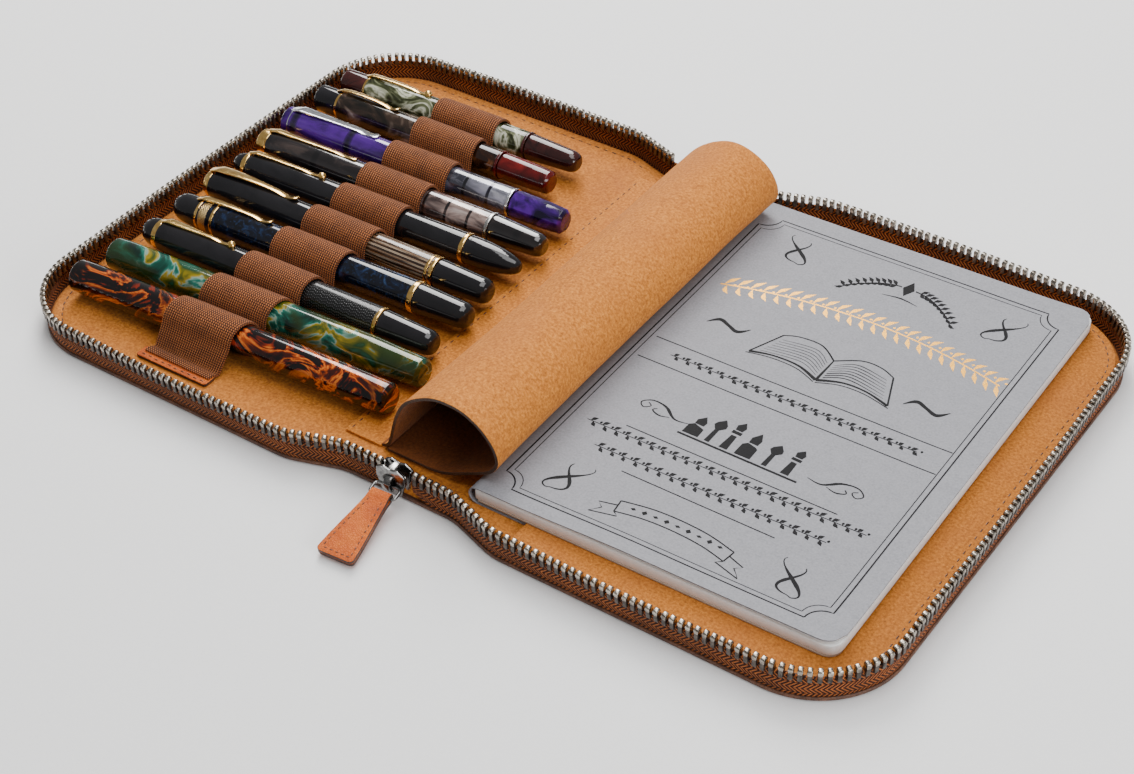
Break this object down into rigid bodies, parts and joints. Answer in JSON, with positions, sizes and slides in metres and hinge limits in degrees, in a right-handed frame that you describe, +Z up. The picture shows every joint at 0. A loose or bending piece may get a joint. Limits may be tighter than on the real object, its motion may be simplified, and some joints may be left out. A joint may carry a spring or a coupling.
{
  "type": "fountain pen case",
  "caption": "Open zip-around leather folio with elastic pen loops holding fountain pens, a rolled leather guard flap at the spine and a soft-cover notebook in the facing pocket.",
  "frame": {"origin": "middle of the spine's underside, on the surface the open case lies on", "axes": "+X from the pen half to the notebook half, +Y from the slider end to the back, +Z up"},
  "size_m": [0.3856, 0.2717, 0.0415],
  "materials": {
    "cover_leather": "full-grain leather, satin",
    "board": "stiff leather-fibre board",
    "lining_suede": "tan nubuck with a fine nap",
    "flap_suede": "tan nubuck with burnished cut edges",
    "zipper_tape": "herringbone woven tape",
    "zipper_nickel": "antique nickel",
    "slider_gunmetal": "polished gunmetal",
    "tab_leather": "orange-tan leather, satin",
    "elastic": "ribbed brown elastic webbing",
    "notebook_card": "grey uncoated card",
    "paper": "white paper block",
    "thread": "white waxed linen thread",
    "gold_trim": "polished gold plate",
    "silver_trim": "polished rhodium plate",
    "pen_01_resin": "polished resin",
    "pen_02_resin": "polished resin",
    "pen_03_resin": "polished resin",
    "pen_04_resin": "polished resin",
    "pen_05_resin": "polished resin",
    "pen_06_resin": "polished resin",
    "pen_07_resin": "polished resin",
    "pen_08_resin": "polished resin",
    "pen_09_resin": "polished resin",
    "pen_10_resin": "polished resin"
  },
  "bodies": {
    "spine": {"spine_cover": "cover_leather", "spine_lining": "lining_suede", "gusset_tape_front": "zipper_tape", "gusset_tape_back": "zipper_tape", "gusset_teeth_front": "zipper_nickel"},
    "left_cover": {"outer_cover_left": "cover_leather", "stiffener_left": "board", "lining_left": "lining_suede", "zipper_tape_left": "zipper_tape", "zipper_teeth_left": "zipper_nickel", "zip_stop_left": "zipper_nickel", "elastic_band": "elastic", "elastic_end_tab_front": "tab_leather", "elastic_end_tab_back": "tab_leather", "flap_root": "flap_suede"},
    "right_cover": {"outer_cover_right": "cover_leather", "stiffener_right": "board", "lining_right": "lining_suede", "zipper_tape_right": "zipper_tape", "zipper_teeth_right": "zipper_nickel", "zip_stop_right": "zipper_nickel", "notebook_pocket": "lining_suede"},
    "flap": {"flap": "flap_suede"},
    "slider": {"slider_body": "slider_gunmetal", "slider_bail": "slider_gunmetal"},
    "pull": {"pull_link": "slider_gunmetal", "pull_tab": "tab_leather"},
    "notebook": {"notebook_cover": "notebook_card", "notebook_pages": "paper", "notebook_thread": "thread"},
    "pen_01": {"pen_01_barrel": "pen_01_resin", "pen_01_cap": "pen_01_resin"},
    "pen_02": {"pen_02_barrel": "pen_02_resin", "pen_02_cap": "pen_02_resin"},
    "pen_03": {"pen_03_barrel": "pen_03_resin", "pen_03_cap": "pen_03_resin", "pen_03_trim": "gold_trim"},
    "pen_04": {"pen_04_barrel": "pen_04_resin", "pen_04_cap": "pen_04_resin", "pen_04_trim": "gold_trim"},
    "pen_05": {"pen_05_barrel": "pen_05_resin", "pen_05_cap": "pen_05_resin", "pen_05_trim": "gold_trim"},
    "pen_06": {"pen_06_barrel": "pen_06_resin", "pen_06_cap": "pen_06_resin", "pen_06_trim": "gold_trim"},
    "pen_07": {"pen_07_barrel": "pen_07_resin", "pen_07_cap": "pen_07_resin", "pen_07_trim": "gold_trim"},
    "pen_08": {"pen_08_barrel": "pen_08_resin", "pen_08_cap": "pen_08_resin", "pen_08_trim": "silver_trim"},
    "pen_09": {"pen_09_barrel": "pen_09_resin", "pen_09_cap": "pen_09_resin", "pen_09_trim": "gold_trim"},
    "pen_10": {"pen_10_barrel": "pen_10_resin", "pen_10_cap": "pen_10_resin", "pen_10_trim": "gold_trim"}
  },
  "joints": [
    {"name": "left_cover_fold", "type": "hinge", "parent": "spine", "child": "left_cover", "pos_m": [-0.0152, 0, 0.0016], "axis": [0, 1, 0], "range_deg": [0, 90], "deforming": ["flap", "gusset_tape_front", "gusset_tape_back", "gusset_teeth_front"]},
    {"name": "right_cover_fold", "type": "hinge", "parent": "spine", "child": "right_cover", "pos_m": [0.0152, 0, 0.0016], "axis": [0, -1, 0], "range_deg": [0, 90]},
    {"name": "flap_lift", "type": "hinge", "parent": "spine", "child": "flap", "pos_m": [-0.019, 0, 0.0048], "axis": [0, 1, 0], "range_deg": [-45, 0]},
    {"name": "slider_travel", "type": "slide", "parent": "spine", "child": "slider", "axis": [0, 0, 1], "range_m": [0, 0.0008]},
    {"name": "pull_swing", "type": "hinge", "parent": "slider", "child": "pull", "pos_m": [0, -0.11577, 0.0091], "axis": [-1, 0, 0], "range_deg": [0, 70]},
    {"name": "notebook_slide", "type": "slide", "parent": "right_cover", "child": "notebook", "axis": [0.9998, 0.0175, 0], "range_m": [0, 0.008]},
    {"name": "pen_01_slide", "type": "slide", "parent": "left_cover", "child": "pen_01", "axis": [0.9987, 0.0519, 0], "range_m": [-0.003, 0.004]},
    {"name": "pen_02_slide", "type": "slide", "parent": "left_cover", "child": "pen_02", "axis": [0.9986, 0.0522, 0], "range_m": [-0.003, 0.004]},
    {"name": "pen_03_slide", "type": "slide", "parent": "left_cover", "child": "pen_03", "axis": [0.9996, 0.027, 0], "range_m": [-0.003, 0.004]},
    {"name": "pen_04_slide", "type": "slide", "parent": "left_cover", "child": "pen_04", "axis": [0.9994, 0.0333, 0], "range_m": [-0.003, 0.004]},
    {"name": "pen_05_slide", "type": "slide", "parent": "left_cover", "child": "pen_05", "axis": [0.9999, 0.0135, 0], "range_m": [-0.003, 0.004]},
    {"name": "pen_06_slide", "type": "slide", "parent": "left_cover", "child": "pen_06", "axis": [0.9996, 0.027, 0], "range_m": [-0.003, 0.004]},
    {"name": "pen_07_slide", "type": "slide", "parent": "left_cover", "child": "pen_07", "axis": [0.9998, 0.0203, 0], "range_m": [-0.003, 0.004]},
    {"name": "pen_08_slide", "type": "slide", "parent": "left_cover", "child": "pen_08", "axis": [0.9998, 0.0204, 0], "range_m": [-0.003, 0.004]},
    {"name": "pen_09_slide", "type": "slide", "parent": "left_cover", "child": "pen_09", "axis": [1, 0.004, 0], "range_m": [-0.003, 0.004]},
    {"name": "pen_10_slide", "type": "slide", "parent": "left_cover", "child": "pen_10", "axis": [0.9999, 0.0159, 0], "range_m": [-0.003, 0.004]}
  ],
  "couplings": [
    {"joint": "right_cover_fold", "follows": "left_cover_fold", "ratio": 1}
  ]
}
